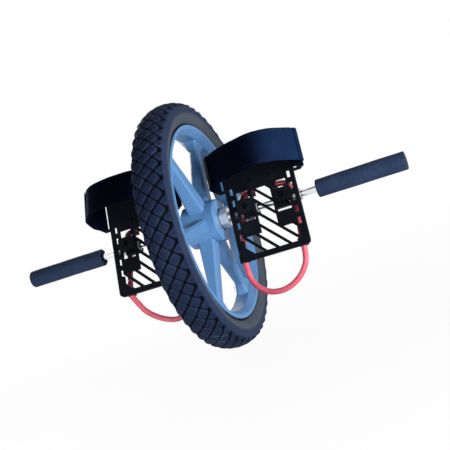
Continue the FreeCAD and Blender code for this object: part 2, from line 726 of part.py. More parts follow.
def build_plate(side):
    """Foot plate: the moulding less slanted slots across its open field."""
    moulding = plate_moulding(side)
    field = new_body()
    heel = "(field_inset - plate_heel)"
    add_pad(field, "XY_Plane", f"{PLATE_BACK} - overrun", "plate_thickness + 2 * overrun", [
        (f"-{PAD_OUTER}", heel), (PAD_OUTER, heel), (PAD_OUTER, "-pad_heel"),
        ("pad_inner", "-pad_heel"), ("pad_inner", "field_toe"), ("-pad_inner", "field_toe"),
        ("-pad_inner", "-pad_heel"), (f"-{PAD_OUTER}", "-pad_heel")])
    slots = []
    reach = "(plate_heel + plate_toe + 2 * plate_half_width)"
    for number in range(round(size("slot_count"))):
        slot = doc.addObject("Part::Box", "Slot")
        slot.Placement = Placement(Vector(0, 0, 0), Rotation(Vector(0, 0, -1), 1))
        start = f"({number} * slot_spacing - first_slot_reach - slot_width / 2)"
        bind(slot, Length=reach, Width="slot_width", Height="plate_thickness + 4 * overrun",
             Placement__Rotation__Angle="slot_slant",
             Placement__Base__x=f"{start} * sin(slot_slant) - {reach} / 2 * cos(slot_slant)",
             Placement__Base__y=f"{start} * cos(slot_slant) + {reach} / 2 * sin(slot_slant)",
             Placement__Base__z=f"{PLATE_BACK} - 2 * overrun")
        slots.append(slot)
    grid = doc.addObject("Part::Compound", "SlotGrid")
    grid.Links = slots
    cuts = doc.addObject("Part::Common", "FieldSlots")
    cuts.Base = field
    cuts.Tool = grid
    plate = doc.addObject("Part::Cut", "FootPlate")
    plate.Base = moulding
    plate.Tool = cuts
    node(swing(side, plate), f"{side}_foot_plate")


def build_bush(side, place):
    """Flanged bush in one of a foot plate's housings, its flange on the housing's outer face."""
    seat = f"({HOUSING_FACE} + fit_gap)"
    corners = [("housing_inner", ROD_BORE), (BUSH_FACE, ROD_BORE), (BUSH_FACE, "bush_flange_radius"),
               (seat, "bush_flange_radius"), (seat, "bush_radius"), ("housing_inner", "bush_radius")]
    half = "right" if place == "far" else "left"
    swing(side, turned(f"{side}_{'outer' if (place == 'far') == (side == 'right') else 'inner'}_bush",
                       mirrored(half, corners)))


def rounded_wire(points, limits):
    """Straight runs through points, joined by arcs as wide as the shorter run or a limit allows."""
    edges = []
    radii = []
    last = points[0]
    for before, corner, after, limit in zip(points, points[1:], points[2:], limits[1:]):
        arrive = (corner - before).normalize()
        leave = (after - corner).normalize()
        reach = ARC_RUN_SHARE * min((corner - before).Length, (after - corner).Length)
        half_turn = arrive.getAngle(leave) / 2
        radius = min(reach / math.tan(half_turn), limit)
        reach = radius * math.tan(half_turn)
        start = corner - arrive * reach
        end = corner + leave * reach
        inward = (leave - arrive).normalize()
        middle = corner + inward * (radius / math.cos(half_turn) - radius)
        edges.append(Part.LineSegment(last, start).toShape())
        edges.append(Part.Arc(start, middle, end).toShape())
        radii.append(radius)
        last = end
    edges.append(Part.LineSegment(last, points[-1]).toShape())
    return Part.Wire(edges), radii


def loop_route():
    """Points of a heel tube's free loop, in the right plate's frame."""
    middle = size(f"({TUBE_OUTER_EXIT} - {TUBE_INNER_EXIT}) / 2")
    half_width = size(f"({TUBE_OUTER_EXIT} + {TUBE_INNER_EXIT}) / 2")
    drop = size("tube_loop_drop")
    heel = -size(TUBE_EXIT_HEEL)
    depth = size("tube_depth")
    return [(middle + across * half_width, heel - down * drop, depth) for across, down in LOOP_SHARES]


def leg_route(exit_place, across_shares):
    """Points of a heel tube's leg from an eyelet round the rod to its anchor, in the right plate's frame."""
    mouth = size(exit_place)
    tail = math.copysign(size("tube_tail_across"), mouth)
    heel = -size(TUBE_EXIT_HEEL)
    run = size("tube_tail_along") - heel
    depth = size("tube_depth")
    dip = depth + size("max(spacer_radius; outer_spacer_radius) + tube_rod_gap + tube_radius")
    return [(tail + across * (mouth - tail), heel + along * run, depth - down * dip)
            for across, (along, down) in zip(across_shares, LEG_SHARES)]


def build_tube(side, label, route):
    """A stretch of heel tube along its route in the plate's frame."""
    outward = 1 if side == "right" else -1
    points = [Vector(outward * x, y, z) for x, y, z in route]
    wire, radii = rounded_wire(points, [math.inf] * len(points))
    radius = size("tube_radius")
    mouth = Part.Wire(Part.Circle(points[0], points[1] - points[0], radius).toShape())
    solid = wire.makePipeShell([mouth], True, False)
    expected = math.pi * radius ** 2 * wire.Length
    print(f"{label}: length {wire.Length:.1f}, least radius {min(radii):.1f}, "
          f"volume share {solid.Volume / expected:.4f}")
    tube = doc.addObject("Part::Feature", "Tube")
    tube.Shape = solid
    node(swing(side, tube), label)


def build_strap(side):
    """Toe strap: webbing arched over the plate and round both ears, its free end on the outer side."""
    thickness = size("strap_thickness")
    gap = size("soft_gap")
    bend = size("strap_bend_radius")
    front = size("plate_front")
    under = size(PLATE_BACK) - gap - thickness / 2
    in_slot = size(f"{EAR_REACH} - ear_bar") - gap - thickness / 2
    outside = size(EAR_REACH) + gap + thickness / 2
    rise = size(f"{side}_strap_rise") - front - thickness / 2
    lap = thickness + gap
    half_span = outside - lap - lap / 2
    arch = [(across * half_span, front + up * rise) for across, up in ARCH_SHARES]
    lap_arch = [(across + lap, up) for across, up in arch]
    free_top = (lap_arch[1][0], front + STRAP_FREE_END_SHARE * rise)
    foot = [(outside, front), (outside, under), (in_slot, under), (in_slot, front)]
    free_side = [free_top, lap_arch[0]] + foot + arch
    sewn_side = [(-across, up) for across, up in arch[::-1] + foot[::-1]]
    sewn_side.append((-lap_arch[0][0], lap_arch[0][1] + bend))
    limits = [bend if up <= front else math.inf for across, up in free_side + sewn_side]
    outward = 1 if side == "right" else -1
    low = size(f"{EAR_LOW} + ear_end")
    points = [Vector(outward * across, low, up) for across, up in free_side + sewn_side]
    wire, radii = rounded_wire(points, limits)
    along = (points[1] - points[0]).normalize()
    across = along.cross(Vector(0, 1, 0)) * (thickness / 2)
    width = Vector(0, size("strap_width"), 0)
    ends = [points[0] - across, points[0] + across]
    mouth = Part.makePolygon([ends[0], ends[1], ends[1] + width, ends[0] + width, ends[0]])
    solid = wire.makePipeShell([mouth], True, False)
    print(f"{side} strap: length {wire.Length:.1f}, volume share "
          f"{solid.Volume / (wire.Length * thickness * width.y):.4f}")
    strap = doc.addObject("Part::Feature", "Strap")
    strap.Shape = solid
    node(swing(side, strap), f"{side}_toe_strap")


def build_pedal(side):
    """One foot plate with its bushes, strap and heel tube."""
    build_plate(side)
    for place in ("near", "far"):
        build_bush(side, place)
    build_strap(side)
    build_tube(side, f"{side}_heel_tube_loop", loop_route())
    outer_leg = leg_route(TUBE_OUTER_EXIT, OUTER_LEG_ACROSS_SHARES)
    inner_leg = leg_route(f"-{TUBE_INNER_EXIT}", INNER_LEG_ACROSS_SHARES)
    build_tube(side, f"{side}_heel_tube_outer_leg", outer_leg)
    build_tube(side, f"{side}_heel_tube_inner_leg", inner_leg)


def export_nodes():
    """Checks every object and piece, then writes each piece to its own file."""
    doc.recompute()
    for item in doc.Objects:
        if "Invalid" in item.State or "Error" in item.State:
            raise ValueError(f"{item.Label} failed: {item.State}")
    for item in nodes:
        if item.Shape.isNull() or not item.Shape.isValid():
            raise ValueError(f"{item.Label} has no valid shape")
    os.makedirs("parts", exist_ok=True)
    for item in nodes:
        item.Shape.exportStep(f"parts/{item.Label}.step")


build_rod()
turned("hub_spacer_tube", tube_corners(
    f"fit_gap - {BEARING_IN}", f"{BEARING_IN} - fit_gap", ROD_BORE, "bearing_boss_radius"))
build_wheel()
build_tyre()
grub_screws = []
for side in ("right", "left"):
    build_grip(side)
    grub_screws.append(build_rod_fittings(side))
    build_bearing(side)
    build_pedal(side)
screws = doc.addObject("Part::Compound", "GrubScrews")
screws.Links = grub_screws
node(screws, "collar_grub_screws")
export_nodes()
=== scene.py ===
import json
import math

import bmesh
import bpy
import numpy as np
from mathutils import Matrix, Vector


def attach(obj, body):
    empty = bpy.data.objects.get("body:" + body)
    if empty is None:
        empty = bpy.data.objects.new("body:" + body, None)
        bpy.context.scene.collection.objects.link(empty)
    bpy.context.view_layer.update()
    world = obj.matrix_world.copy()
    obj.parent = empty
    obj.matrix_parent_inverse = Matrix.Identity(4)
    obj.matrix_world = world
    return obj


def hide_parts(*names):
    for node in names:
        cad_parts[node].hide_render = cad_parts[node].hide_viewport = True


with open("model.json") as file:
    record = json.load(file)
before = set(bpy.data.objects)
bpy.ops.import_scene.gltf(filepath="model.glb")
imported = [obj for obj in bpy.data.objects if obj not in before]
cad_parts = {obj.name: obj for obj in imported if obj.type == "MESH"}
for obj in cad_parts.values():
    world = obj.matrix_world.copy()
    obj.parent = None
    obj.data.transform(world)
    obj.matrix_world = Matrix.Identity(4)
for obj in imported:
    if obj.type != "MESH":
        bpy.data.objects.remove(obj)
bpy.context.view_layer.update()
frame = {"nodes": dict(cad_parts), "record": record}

# Sizes of pieces are in millimetres and turn into metres when a mesh is made. Patterns, lamps and the camera
# are in metres.
MM = 0.001
FULL_TURN = 2.0 * math.pi

# Foot plates: distance of a plate's middle from the wheel's middle, and the lean of each plate.
PLATE_OFFSET = 92.0
LEAN = {"right": math.radians(18.0), "left": math.radians(23.0)}
OUTWARD = {"right": 1.0, "left": -1.0}


def smooth_step(low, high, value):
    """Rises from 0 at low to 1 at high along 3t^2 - 2t^3."""
    share = np.clip((value - low) / (high - low), 0.0, 1.0)
    return share * share * (3.0 - 2.0 * share)


def bell(value, middle, width):
    """A bell curve: 1 at the middle, falling as exp(-t^2), t being the distance over the width."""
    return np.exp(-((value - middle) / width) ** 2)


def run_length(line):
    """Length along a line of points, from its start to each point."""
    return np.concatenate([[0.0], np.cumsum(np.linalg.norm(np.diff(line, axis=0), axis=1))])


def line_normals(line):
    """Unit normals of a flat line of points, a quarter turn clockwise from the way it runs."""
    way = np.gradient(line, axis=0)
    return np.stack([way[:, 1], -way[:, 0]], axis=-1) / np.linalg.norm(way, axis=1)[:, None]


def plate_to_row(side, points):
    """Turns points of a foot plate's own frame (across, to the toes, to the foot) into the row frame.

    The plate leans by its angle about the axle: row y = toes * sin - foot * cos, and
    row z = toes * cos + foot * sin.
    """
    points = np.asarray(points, float)
    sine, cosine = math.sin(LEAN[side]), math.cos(LEAN[side])
    across = OUTWARD[side] * (PLATE_OFFSET + points[..., 0])
    toes, foot = points[..., 1], points[..., 2]
    return np.stack([across, toes * sine - foot * cosine, toes * cosine + foot * sine], axis=-1)


def place_in_scene(name, data):
    """A new object at the origin."""
    piece = bpy.data.objects.new(name, data)
    bpy.context.scene.collection.objects.link(piece)
    return piece


def grid_piece(name, points, along=False, caps=False, uv=None, values=None):
    """Mesh of a grid of points: one quad for each cell.

    Rows follow the path, and columns go round the section and close. along closes the rows too, and caps puts a
    flat face on each end of an open tube. The form is turned so that its faces point outwards, by the sign of
    its volume, the sum of a . (b x c) over its triangles.
    """
    rows, columns = points.shape[:2]
    index = np.arange(rows * columns).reshape(rows, columns)
    full = np.concatenate([index, index[:1]]) if along else index
    full = np.concatenate([full, full[:, :1]], axis=1)
    quads = np.stack([full[:-1, :-1], full[1:, :-1], full[1:, 1:], full[:-1, 1:]], axis=-1).reshape(-1, 4)
    flat = points.reshape(-1, 3)
    a, b, c, d = (flat[quads[:, corner]] for corner in range(4))
    volume = np.einsum("ij,ij->", a, np.cross(b, c)) + np.einsum("ij,ij->", a, np.cross(c, d))
    inside_out = volume < 0
    if inside_out:
        quads = quads[:, ::-1]
    faces = quads.tolist()
    if caps:
        ends = [index[0][::-1].tolist(), index[-1].tolist()]
        first_quad = set(zip(faces[0], faces[0][1:] + faces[0][:1]))
        if any(edge in first_quad for edge in zip(ends[0], ends[0][1:] + ends[0][:1])):
            ends = [end[::-1] for end in ends]
        faces += ends
    mesh = bpy.data.meshes.new(name)
    mesh.from_pydata((flat * MM).tolist(), [], faces)
    smooth = np.ones(len(faces), bool)
    if caps:
        smooth[-2:] = False
    mesh.polygons.foreach_set("use_smooth", smooth)
    for key, value in (values or {}).items():
        layer = mesh.attributes.new(key, "FLOAT", "POINT")
        layer.data.foreach_set("value", np.ascontiguousarray(value, np.float32).ravel())
    if uv is not None:
        corners = np.stack([uv[:-1, :-1], uv[1:, :-1], uv[1:, 1:], uv[:-1, 1:]], axis=-2).reshape(-1, 4, 2)
        if inside_out:
            corners = corners[:, ::-1]
        corners = corners.reshape(-1, 2)
        on_caps = np.zeros((len(mesh.loops) - len(corners), 2))
        corners = np.concatenate([corners, on_caps])
        mesh.uv_layers.new(name="lay").data.foreach_set("uv", corners.astype(np.float32).ravel())
    mesh.update()
    return place_in_scene(name, mesh)


# ------------------------------------------------------------------------------------------------------------
# Finishes
# ------------------------------------------------------------------------------------------------------------

# Colours as linear red, green and blue. A pair is a pattern's low and high, or a plain and a rubbed surface.
# The blocks' edge colour is a painted highlight.
BLOCK_TOP, BLOCK_EDGE_HIGHLIGHT = (0.0072, 0.0135, 0.036), (0.034, 0.050, 0.088)
# The grooves' floor colour is dust and painted shade.
GROOVE_DUST_AND_SHADE = (0.0012, 0.0018, 0.0038)
# The bead's dark line is painted shade where the tyre meets the rim.
SIDEWALL, RIM_RING, BEAD_PAINTED_SHADE = (0.0165, 0.026, 0.056), (0.050, 0.061, 0.078), (0.004, 0.006, 0.010)
FOAM_PORE, FOAM_SKIN = (0.0063, 0.0110, 0.0225), (0.0175, 0.033, 0.073)
DEEP_WEAVE = (0.0006, 0.0011, 0.0034), (0.0028, 0.0052, 0.0170)
# The paler weave is painted light on the strap's outer end and free lap.
PAINTED_LIGHT_WEAVE = (0.0030, 0.0080, 0.0230), (0.0112, 0.0305, 0.0890)
STITCH_THREAD, STRAP_SHEEN = (0.012, 0.022, 0.045), (0.35, 0.5, 0.8)
FREE_TUBE = (0.52, 0.072, 0.108), (0.60, 0.17, 0.21)
# The deeper red is painted shade on the tube's runs behind the plate.
PAINTED_SHADE_TUBE = (0.24, 0.010, 0.022), (0.30, 0.030, 0.045)
FLOOR_TONES = (0.80, 0.80, 0.80), (0.84, 0.84, 0.84)

# Strap seams: distance from the middle of the face to a line of stitches, and half its width, in centimetres.
SEAM_PLACE, SEAM_HALF_WIDTH = 1.95, 0.05
# Heel tubes: how far below the axle the painted shade starts, and how fast it deepens for each metre up.
PAINTED_SHADE_START, PAINTED_SHADE_RATE = 0.037, 60.0


def new_group(name, inputs, outputs):
    """An empty shader node group with its named sockets, and its two end nodes."""
    group = bpy.data.node_groups.new(name, "ShaderNodeTree")
    for label, kind, value in inputs:
        socket = group.interface.new_socket(label, in_out="INPUT", socket_type=kind)
        socket.default_value = value
    for label, kind in outputs:
        group.interface.new_socket(label, in_out="OUTPUT", socket_type=kind)
    return group, group.nodes.new("NodeGroupInput"), group.nodes.new("NodeGroupOutput")


def math_node(tree, operation, first, second=None, clamp=False):
    """A Math node with sockets or numbers as its inputs."""
    made = tree.nodes.new("ShaderNodeMath")
    made.operation = operation
    made.use_clamp = clamp
    for place, value in enumerate((first, second)):
        if isinstance(value, bpy.types.NodeSocket):
            tree.links.new(value, made.inputs[place])
        elif value is not None:
            made.inputs[place].default_value = value
    return made.outputs[0]


def mix_colour(tree, share, first, second, blend="MIX"):
    """A colour Mix node between two colours or sockets."""
    made = tree.nodes.new("ShaderNodeMix")
    made.data_type = "RGBA"
    made.blend_type = blend
    for socket, value in ((made.inputs[0], share), (made.inputs[6], first), (made.inputs[7], second)):
        if isinstance(value, bpy.types.NodeSocket):
            tree.links.new(value, socket)
        elif isinstance(value, tuple):
            socket.default_value = (*value, 1.0)
        else:
            socket.default_value = value
    return made.outputs[2]


def noise(tree, vector, scale, detail=3.0):
    """The value of a Noise texture on a vector."""
    made = tree.nodes.new("ShaderNodeTexNoise")
    made.inputs["Detail"].default_value = detail
    made.inputs["Roughness"].default_value = 0.55
    tree.links.new(vector, made.inputs["Vector"])
    if isinstance(scale, bpy.types.NodeSocket):
        tree.links.new(scale, made.inputs["Scale"])
    else:
        made.inputs["Scale"].default_value = scale
    return made.outputs["Fac"]


def wave(tree, vector, scale, axis):
    """The value of a sine Wave texture in bands across one axis."""
    made = tree.nodes.new("ShaderNodeTexWave")
    made.bands_direction = axis
    made.wave_profile = "SIN"
    made.inputs["Scale"].default_value = scale
    tree.links.new(vector, made.inputs["Vector"])
    return made.outputs["Fac"]


def coordinate(tree, vector, axis):
    """One coordinate of a vector."""
    made = tree.nodes.new("ShaderNodeSeparateXYZ")
    tree.links.new(vector, made.inputs[0])
    return made.outputs[axis]


def make_patina_group():
    """Broad cloudy change of tone with fine specks: a tone about 1, and a rub mask from 0 to 1."""
    group, start, end = new_group(
        "handled_patina",
        [("Place", "NodeSocketVector", (0, 0, 0)), ("Cloud Scale", "NodeSocketFloat", 18.0),
         ("Speck Scale", "NodeSocketFloat", 420.0), ("Strength", "NodeSocketFloat", 0.25)],
        [("Tone", "NodeSocketFloat"), ("Rub", "NodeSocketFloat")])
    cloud = noise(group, start.outputs["Place"], start.outputs["Cloud Scale"], 4.0)
    speck = noise(group, start.outputs["Place"], start.outputs["Speck Scale"], 2.0)
    both = math_node(group, "ADD", math_node(group, "MULTIPLY", cloud, 1.4),
                     math_node(group, "MULTIPLY", speck, 0.6))
    swing = math_node(group, "MULTIPLY", math_node(group, "SUBTRACT", both, 1.0), start.outputs["Strength"])
    group.links.new(math_node(group, "ADD", swing, 1.0), end.inputs["Tone"])
    rub = math_node(group, "MULTIPLY", math_node(group, "SUBTRACT", cloud, 0.5), 4.0, clamp=True)
    group.links.new(rub, end.inputs["Rub"])
    return group


def make_grain_group():
    """Fine skin of a moulding or of rubber: a height from 0 to 1 out of two sizes of noise."""
    group, start, end = new_group(
        "moulded_grain",
        [("Place", "NodeSocketVector", (0, 0, 0)), ("Scale", "NodeSocketFloat", 900.0),
         ("Coarse Share", "NodeSocketFloat", 0.35)],
        [("Height", "NodeSocketFloat")])
    fine = noise(group, start.outputs["Place"], start.outputs["Scale"], 2.0)
    coarse = noise(group, start.outputs["Place"],
                   math_node(group, "MULTIPLY", start.outputs["Scale"], 0.14), 3.0)
    share = math_node(group, "MULTIPLY", coarse, start.outputs["Coarse Share"])
    rest = math_node(group, "MULTIPLY", fine,
                     math_node(group, "SUBTRACT", 1.0, start.outputs["Coarse Share"]))
    group.links.new(math_node(group, "ADD", share, rest), end.inputs["Height"])
    return group


PATINA = make_patina_group()
GRAIN = make_grain_group()


class Finish:
    """A material under way: its tree, its Principled shader and the coordinates that its patterns read."""

    def __init__(self, name, roughness, specular=0.5, metallic=0.0):
        self.material = bpy.data.materials.new(name)
        self.material.use_nodes = True
        self.tree = self.material.node_tree
        self.shader = self.tree.nodes["Principled BSDF"]
        self.shader.inputs["Roughness"].default_value = roughness
        self.shader.inputs["Specular IOR Level"].default_value = specular
        self.shader.inputs["Metallic"].default_value = metallic
        self.coordinates = self.tree.nodes.new("ShaderNodeTexCoord")

    @property
    def place(self):
        """A point's place in the row frame."""
        return self.coordinates.outputs["Object"]

    @property
    def lay(self):
        """A point's place on the piece's own UV map."""
        return self.coordinates.outputs["UV"]

    def group(self, group, **values):
        """The outputs of a node group that reads the place, with its own values."""
        made = self.tree.nodes.new("ShaderNodeGroup")
        made.node_tree = group
        self.tree.links.new(self.place, made.inputs["Place"])
        for key, value in values.items():
            made.inputs[key.replace("_", " ")].default_value = value
        return made.outputs

    def attribute(self, name):
        """A mask that the piece's mesh carries."""
        made = self.tree.nodes.new("ShaderNodeAttribute")
        made.attribute_name = name
        return made.outputs["Fac"]

    def colour(self, socket):
        """Gives the shader its colour."""
        self.tree.links.new(socket, self.shader.inputs["Base Color"])

    def roughness(self, middle, swing, mask):
        """Lets the roughness swing about its middle with a mask."""
        spread = math_node(self.tree, "MULTIPLY", math_node(self.tree, "SUBTRACT", mask, 0.5), swing)
        rough = math_node(self.tree, "ADD", spread, middle, clamp=True)
        self.tree.links.new(rough, self.shader.inputs["Roughness"])

    def bump(self, height, depth):
        """Gives the skin a fine relief of that depth."""
        made = self.tree.nodes.new("ShaderNodeBump")
        made.inputs["Distance"].default_value = depth * MM
        made.inputs["Strength"].default_value = 1.0
        self.tree.links.new(height, made.inputs["Height"])
        self.tree.links.new(made.outputs["Normal"], self.shader.inputs["Normal"])

    def toned(self, colour, tone):
        """A colour or socket times a tone."""
        grey = self.tree.nodes.new("ShaderNodeCombineColor")
        for place in range(3):
            self.tree.links.new(tone, grey.inputs[place])
        return mix_colour(self.tree, 1.0, colour, grey.outputs[0], "MULTIPLY")


def moulded_plastic(name, colour, pale_part, roughness, specular, cloud, grain, depth, strength=0.25):
    """Moulded plastic: cloudy tone, a rubbed paler colour in patches, and a fine moulded skin."""
    finish = Finish(name, roughness, specular)
    patina = finish.group(PATINA, Cloud_Scale=cloud, Strength=strength)
    worn = mix_colour(finish.tree, math_node(finish.tree, "MULTIPLY", patina["Rub"], 0.35), colour, pale_part)
    finish.colour(finish.toned(worn, patina["Tone"]))
    finish.roughness(roughness, 0.16, patina["Tone"])
    finish.bump(finish.group(GRAIN, Scale=grain)["Height"], depth)
    return finish.material


def bright_metal(name, colour, dull, roughness, swing):
    """Polished or plain steel: faint stains, and drawing marks along the axle."""
    finish = Finish(name, roughness, metallic=1.0)
    patina = finish.group(PATINA, Cloud_Scale=40.0, Strength=0.12)
    finish.colour(finish.toned(mix_colour(finish.tree, patina["Rub"], colour, dull), patina["Tone"]))
    stretch = finish.tree.nodes.new("ShaderNodeMapping")
    stretch.inputs["Scale"].default_value = (25.0, 900.0, 900.0)
    finish.tree.links.new(finish.place, stretch.inputs["Vector"])
    marks = noise(finish.tree, stretch.outputs["Vector"], 1.0, 2.0)
    finish.roughness(roughness, swing, marks)
    finish.bump(marks, 0.01)
    return finish.material


def tyre_finish():
    """Tyre rubber: a painted highlight in patches along the blocks' edges, nearly black in the grooves from
    dust and painted shade, paler on the sidewall.

    A grey ring lies beside the rim, with painted shade in a dark line where the bead meets it.
    """
    finish = Finish("tyre_rubber", 0.62, 0.05)
    tree = finish.tree
    patina = finish.group(PATINA, Cloud_Scale=26.0, Speck_Scale=300.0, Strength=0.5)
    # A painted highlight along the blocks' edges, broken into patches by the rub mask.
    pale_part = math_node(tree, "MULTIPLY", finish.attribute("edge"),
                       math_node(tree, "ADD", math_node(tree, "MULTIPLY", patina["Rub"], 0.8), 0.2))
    block = mix_colour(tree, pale_part, BLOCK_TOP, BLOCK_EDGE_HIGHLIGHT)
    # Dust and painted shade darken the grooves.
    tread = mix_colour(tree, finish.attribute("groove"), block, GROOVE_DUST_AND_SHADE)
    wall = mix_colour(tree, finish.attribute("ring"), SIDEWALL, RIM_RING)
    # Painted shade in a dark line where the bead meets the rim.
    bead_shaded = mix_colour(tree, finish.attribute("bead_shade"), wall, BEAD_PAINTED_SHADE)
    whole = mix_colour(tree, finish.attribute("wall"), tread, bead_shaded)
    finish.colour(finish.toned(whole, patina["Tone"]))
    finish.roughness(0.60, 0.22, patina["Tone"])
    finish.bump(finish.group(GRAIN, Scale=700.0)["Height"], 0.12)
    return finish.material


def foam_finish():
    """Closed-cell foam: soft dark pores over a cloudy slate tone."""
    finish = Finish("grip_foam", 0.8, 0.10)
    tree = finish.tree
    patina = finish.group(PATINA, Cloud_Scale=45.0, Speck_Scale=700.0, Strength=0.5)
    pores = tree.nodes.new("ShaderNodeTexVoronoi")
    pores.inputs["Scale"].default_value = 620.0
    tree.links.new(finish.place, pores.inputs["Vector"])
    skin = math_node(tree, "MULTIPLY", pores.outputs["Distance"], 1.6, clamp=True)
    finish.colour(finish.toned(mix_colour(tree, skin, FOAM_PORE, FOAM_SKIN), patina["Tone"]))
    finish.roughness(0.8, 0.2, patina["Rub"])
    finish.bump(skin, 0.22)
    return finish.material


def webbing_finish():
    """Woven strap: warp ribs along it crossed by weft, a sewn line near each edge, and a faint sheen.

    The colour goes from the deep cloth to a paler weave of painted light with the strap's mask of painted
    light. The strap's UV map is in centimetres: along the strap, and round its section from the middle of its
    face.
    """
    finish = Finish("strap_webbing", 0.78, 0.004)
    tree = finish.tree
    finish.shader.inputs["Sheen Weight"].default_value = 0.002
    finish.shader.inputs["Sheen Roughness"].default_value = 0.4
    finish.shader.inputs["Sheen Tint"].default_value = (*STRAP_SHEEN, 1.0)
    warp = wave(tree, finish.lay, 2.6, "Y")
    weft = wave(tree, finish.lay, 1.9, "X")
    weave = math_node(tree, "MULTIPLY", warp,
                      math_node(tree, "ADD", math_node(tree, "MULTIPLY", weft, 0.5), 0.5))
    patina = finish.group(PATINA, Cloud_Scale=30.0, Speck_Scale=500.0, Strength=0.6)
    from_middle = math_node(tree, "ABSOLUTE", coordinate(tree, finish.lay, "Y"))
    from_seam = math_node(tree, "ABSOLUTE", math_node(tree, "SUBTRACT", from_middle, SEAM_PLACE))
    line = math_node(tree, "LESS_THAN", from_seam, SEAM_HALF_WIDTH)
    dash = math_node(tree, "GREATER_THAN", wave(tree, finish.lay, 0.8, "X"), 0.35)
    stitch = math_node(tree, "MULTIPLY", line, dash)
    deep = mix_colour(tree, weave, *DEEP_WEAVE)
    # Painted light: the paler weave lightens the strap's outer end and free lap.
    painted_lit_weave = mix_colour(tree, weave, *PAINTED_LIGHT_WEAVE)
    cloth = mix_colour(tree, finish.attribute("painted_light"), deep, painted_lit_weave)
    sewn = mix_colour(tree, math_node(tree, "MULTIPLY", stitch, 0.7), cloth, STITCH_THREAD)
    finish.colour(finish.toned(sewn, patina["Tone"]))
    finish.roughness(0.76, 0.2, weave)
    finish.bump(math_node(tree, "ADD", weave, math_node(tree, "MULTIPLY", stitch, 1.5)), 0.22)
    return finish.material


def tube_finish():
    """Red rubber tube: glossy skin, chalky bloom in patches, and painted shade, a deeper red, higher up behind
    the plate.
    """
    finish = Finish("tube_rubber", 0.38)
    tree = finish.tree
    patina = finish.group(PATINA, Cloud_Scale=70.0, Speck_Scale=600.0, Strength=0.35)
    chalk = math_node(tree, "MULTIPLY", patina["Rub"], 0.3)
    free = mix_colour(tree, chalk, *FREE_TUBE)
    # Painted shade: a deeper red that sets in with height, where the tube runs behind the plate.
    shaded_red = mix_colour(tree, chalk, *PAINTED_SHADE_TUBE)
    above = math_node(tree, "ADD", coordinate(tree, finish.place, "Z"), PAINTED_SHADE_START)
    painted_shade = math_node(tree, "MULTIPLY", above, PAINTED_SHADE_RATE, clamp=True)
    finish.colour(finish.toned(mix_colour(tree, painted_shade, free, shaded_red), patina["Tone"]))
    finish.roughness(0.38, 0.25, patina["Tone"])
    finish.bump(finish.group(GRAIN, Scale=800.0)["Height"], 0.05)
    return finish.material


FINISHES = {
    "chromed_steel": bright_metal("chromed_steel", (0.80, 0.82, 0.84), (0.66, 0.69, 0.73),
                                  roughness=0.12, swing=0.12),
    "plain_steel": bright_metal("plain_steel", (0.46, 0.48, 0.51), (0.30, 0.31, 0.33),
                                roughness=0.32, swing=0.18),
    "bearing_steel": bright_metal("bearing_steel", (0.58, 0.59, 0.61), (0.40, 0.41, 0.43),
                                  roughness=0.24, swing=0.16),
    "seal_rubber": moulded_plastic("seal_rubber", (0.085, 0.12, 0.15), (0.12, 0.16, 0.20),
                                   roughness=0.5, specular=0.3, cloud=60.0, grain=900.0, depth=0.04),
    "wheel_plastic": moulded_plastic("wheel_plastic", (0.070, 0.175, 0.357), (0.105, 0.228, 0.413),
                                     roughness=0.42, specular=0.24, cloud=12.0, grain=500.0, depth=0.05,
                                     strength=0.22),
    "tyre_rubber": tyre_finish(),
    "grip_foam": foam_finish(),
    "black_plastic": moulded_plastic("black_plastic", (0.0035, 0.0045, 0.0070), (0.0095, 0.0120, 0.0170),
                                     roughness=0.45, specular=0.035, cloud=20.0, grain=800.0, depth=0.06,
                                     strength=0.5),
    "nylon": moulded_plastic("nylon", (0.62, 0.60, 0.53), (0.70, 0.68, 0.62),
                             roughness=0.5, specular=0.4, cloud=60.0, grain=700.0, depth=0.03),
    "strap_webbing": webbing_finish(),
    "tube_rubber": tube_finish(),
}

slots = {entry["node"]: entry["material_slot"] for entry in frame["record"]["subparts"]}
for node, solid in frame["nodes"].items():
    solid.data.materials.clear()
    solid.data.materials.append(FINISHES[slots[node]])
plated_nut = bright_metal("plated_nut", (0.84, 0.87, 0.89), (0.74, 0.77, 0.80), roughness=0.42, swing=0.12)
for side in OUTWARD:
    frame["nodes"][f"{side}_hub_nut"].data.materials[0] = plated_nut


def dress(piece, slot, body, *nodes):
    """Gives a new piece its finish and its body, and puts it in place of CAD nodes."""
    piece.data.materials.append(FINISHES[slot])
    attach(piece, body)
    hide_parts(*nodes)


# ------------------------------------------------------------------------------------------------------------
# Tyre
# ------------------------------------------------------------------------------------------------------------

TYRE_RADIUS = 175.0
# Section, as (across, radius): the crown's arc with half its angle in degrees, then the shoulder and the
# sidewall as arcs between corners, then the bead and the base.
CROWN_RADIUS, CROWN_CENTRE, CROWN_HALF_ANGLE = 38.0, 137.0, 34.2
SHOULDER_TOP, WALL_TOP, BEAD_TOP = (21.5, 168.0), (23.8, 155.0), (15.4, 139.6)
SHOULDER_BEND, WALL_BEND = 30.0, 21.9
BEAD_AND_BASE = [BEAD_TOP, (15.3, 138.0), (15.3, 132.0), (8.0, 131.9), (0.0, 131.9)]
# Tread: grooves of each set, their widths, and how much they widen towards the shoulders.
TREAD_REPEATS, STEPS_IN_REPEAT = 52, 20
TREAD_PITCH = FULL_TURN * TYRE_RADIUS / TREAD_REPEATS
GROOVE_DEPTH, GROOVE_WIDTHS = 3.9, (2.3, 1.4)
GROOVE_FLARE, FLARE_START = 3.0, 12.0
